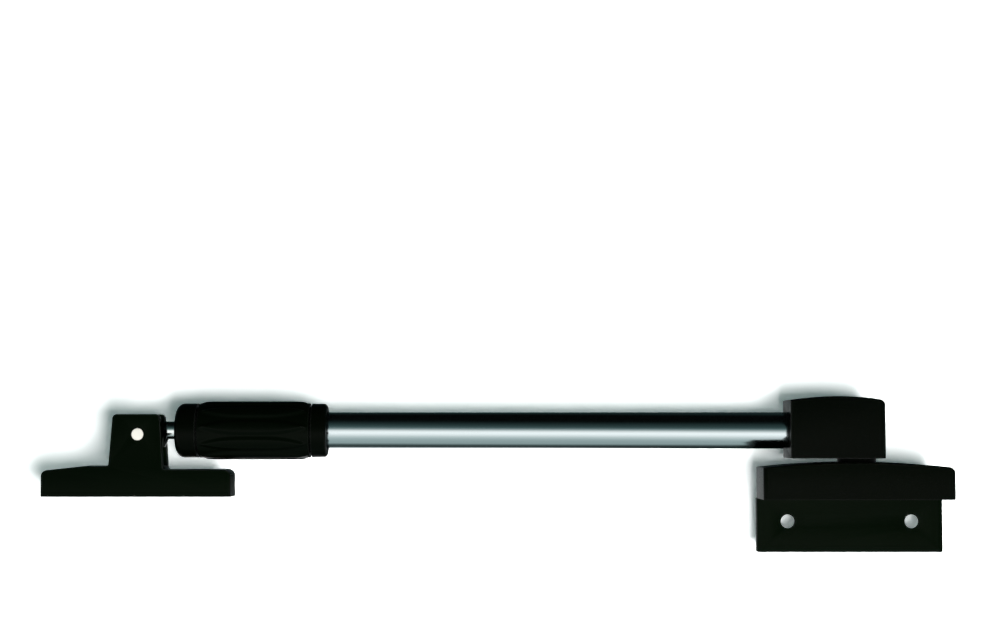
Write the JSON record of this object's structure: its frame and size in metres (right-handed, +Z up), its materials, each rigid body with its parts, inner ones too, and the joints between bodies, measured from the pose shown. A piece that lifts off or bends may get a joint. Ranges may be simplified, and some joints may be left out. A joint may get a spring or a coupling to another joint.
{
  "type": "telescopic window stay",
  "caption": "Telescopic window stay: a swivel head on a frame bracket carries a tube, a twist grip clamps the sliding rod, and a hinged bracket holds the sash.",
  "frame": {"origin": "on the swivel axis, level with the underside of the frame bracket where it lies on the window frame", "axes": "+Z up along the swivel axis, from the window frame to the head; -X along the closed arm, from the head to the sash bracket; +Y towards the hanging flange, whose free face looks along -Y onto the window frame"},
  "size_m": [0.2972, 0.022, 0.0516],
  "materials": {
    "black_coating": "dark powder coat, satin",
    "black_plastic": "moulded, fine grain, satin",
    "grip_rubber": "soft ribbed sleeve, satin",
    "satin_tube": "clear anodised, fine lengthwise grain",
    "bright_steel": "zinc plated, bright",
    "spring_steel": "hardened spring steel",
    "brass": "turned",
    "natural_plastic": "natural white moulding",
    "collet_metal": "turned"
  },
  "bodies": {
    "frame_bracket": {"angle_plate": "black_coating", "base_cover": "black_plastic", "cover_screws": "bright_steel", "pivot_bush": "black_plastic"},
    "swivel_head": {"head_housing": "black_coating", "head_insert": "brass", "pivot_screw": "bright_steel", "bowed_washer": "spring_steel", "outer_tube": "satin_tube", "tube_plug": "natural_plastic", "tube_lock_pin": "spring_steel", "collet_body": "collet_metal"},
    "taper_ring": {"clamp_ring": "natural_plastic"},
    "grip": {"grip_core": "black_plastic", "grip_sleeve": "grip_rubber", "grip_rear_ring": "black_plastic", "clamp_nut": "brass"},
    "rod_guide": {"guide_piston": "natural_plastic"},
    "rod": {"inner_rod": "bright_steel", "rod_clips": "spring_steel"},
    "sash_foot": {"sash_bracket": "black_coating", "hinge_pin": "bright_steel"}
  },
  "joints": [
    {"name": "head_swivel", "type": "hinge", "parent": "frame_bracket", "child": "swivel_head", "pos_m": [0, 0, 0], "axis": [0, 0, 1], "continuous": true},
    {"name": "clamp_slide", "type": "slide", "parent": "swivel_head", "child": "taper_ring", "axis": [1, 0, 0], "range_m": [0, 0.00076]},
    {"name": "grip_turn", "type": "hinge", "parent": "taper_ring", "child": "grip", "pos_m": [0, 0, 0.0224], "axis": [1, 0, 0], "range_deg": [0, 180]},
    {"name": "rod_slide", "type": "slide", "parent": "swivel_head", "child": "rod_guide", "axis": [-1, 0, 0], "range_m": [0, 0.144]},
    {"name": "rod_roll", "type": "hinge", "parent": "rod_guide", "child": "rod", "pos_m": [0, 0, 0.0224], "axis": [1, 0, 0], "continuous": true},
    {"name": "sash_pivot", "type": "hinge", "parent": "rod", "child": "sash_foot", "pos_m": [-0.2356, 0, 0.02115], "axis": [0, 1, 0], "range_deg": [-3, 174]}
  ],
  "couplings": [
    {"joint": "clamp_slide", "follows": "grip_turn", "m_per_rad": 0.00023873}
  ]
}
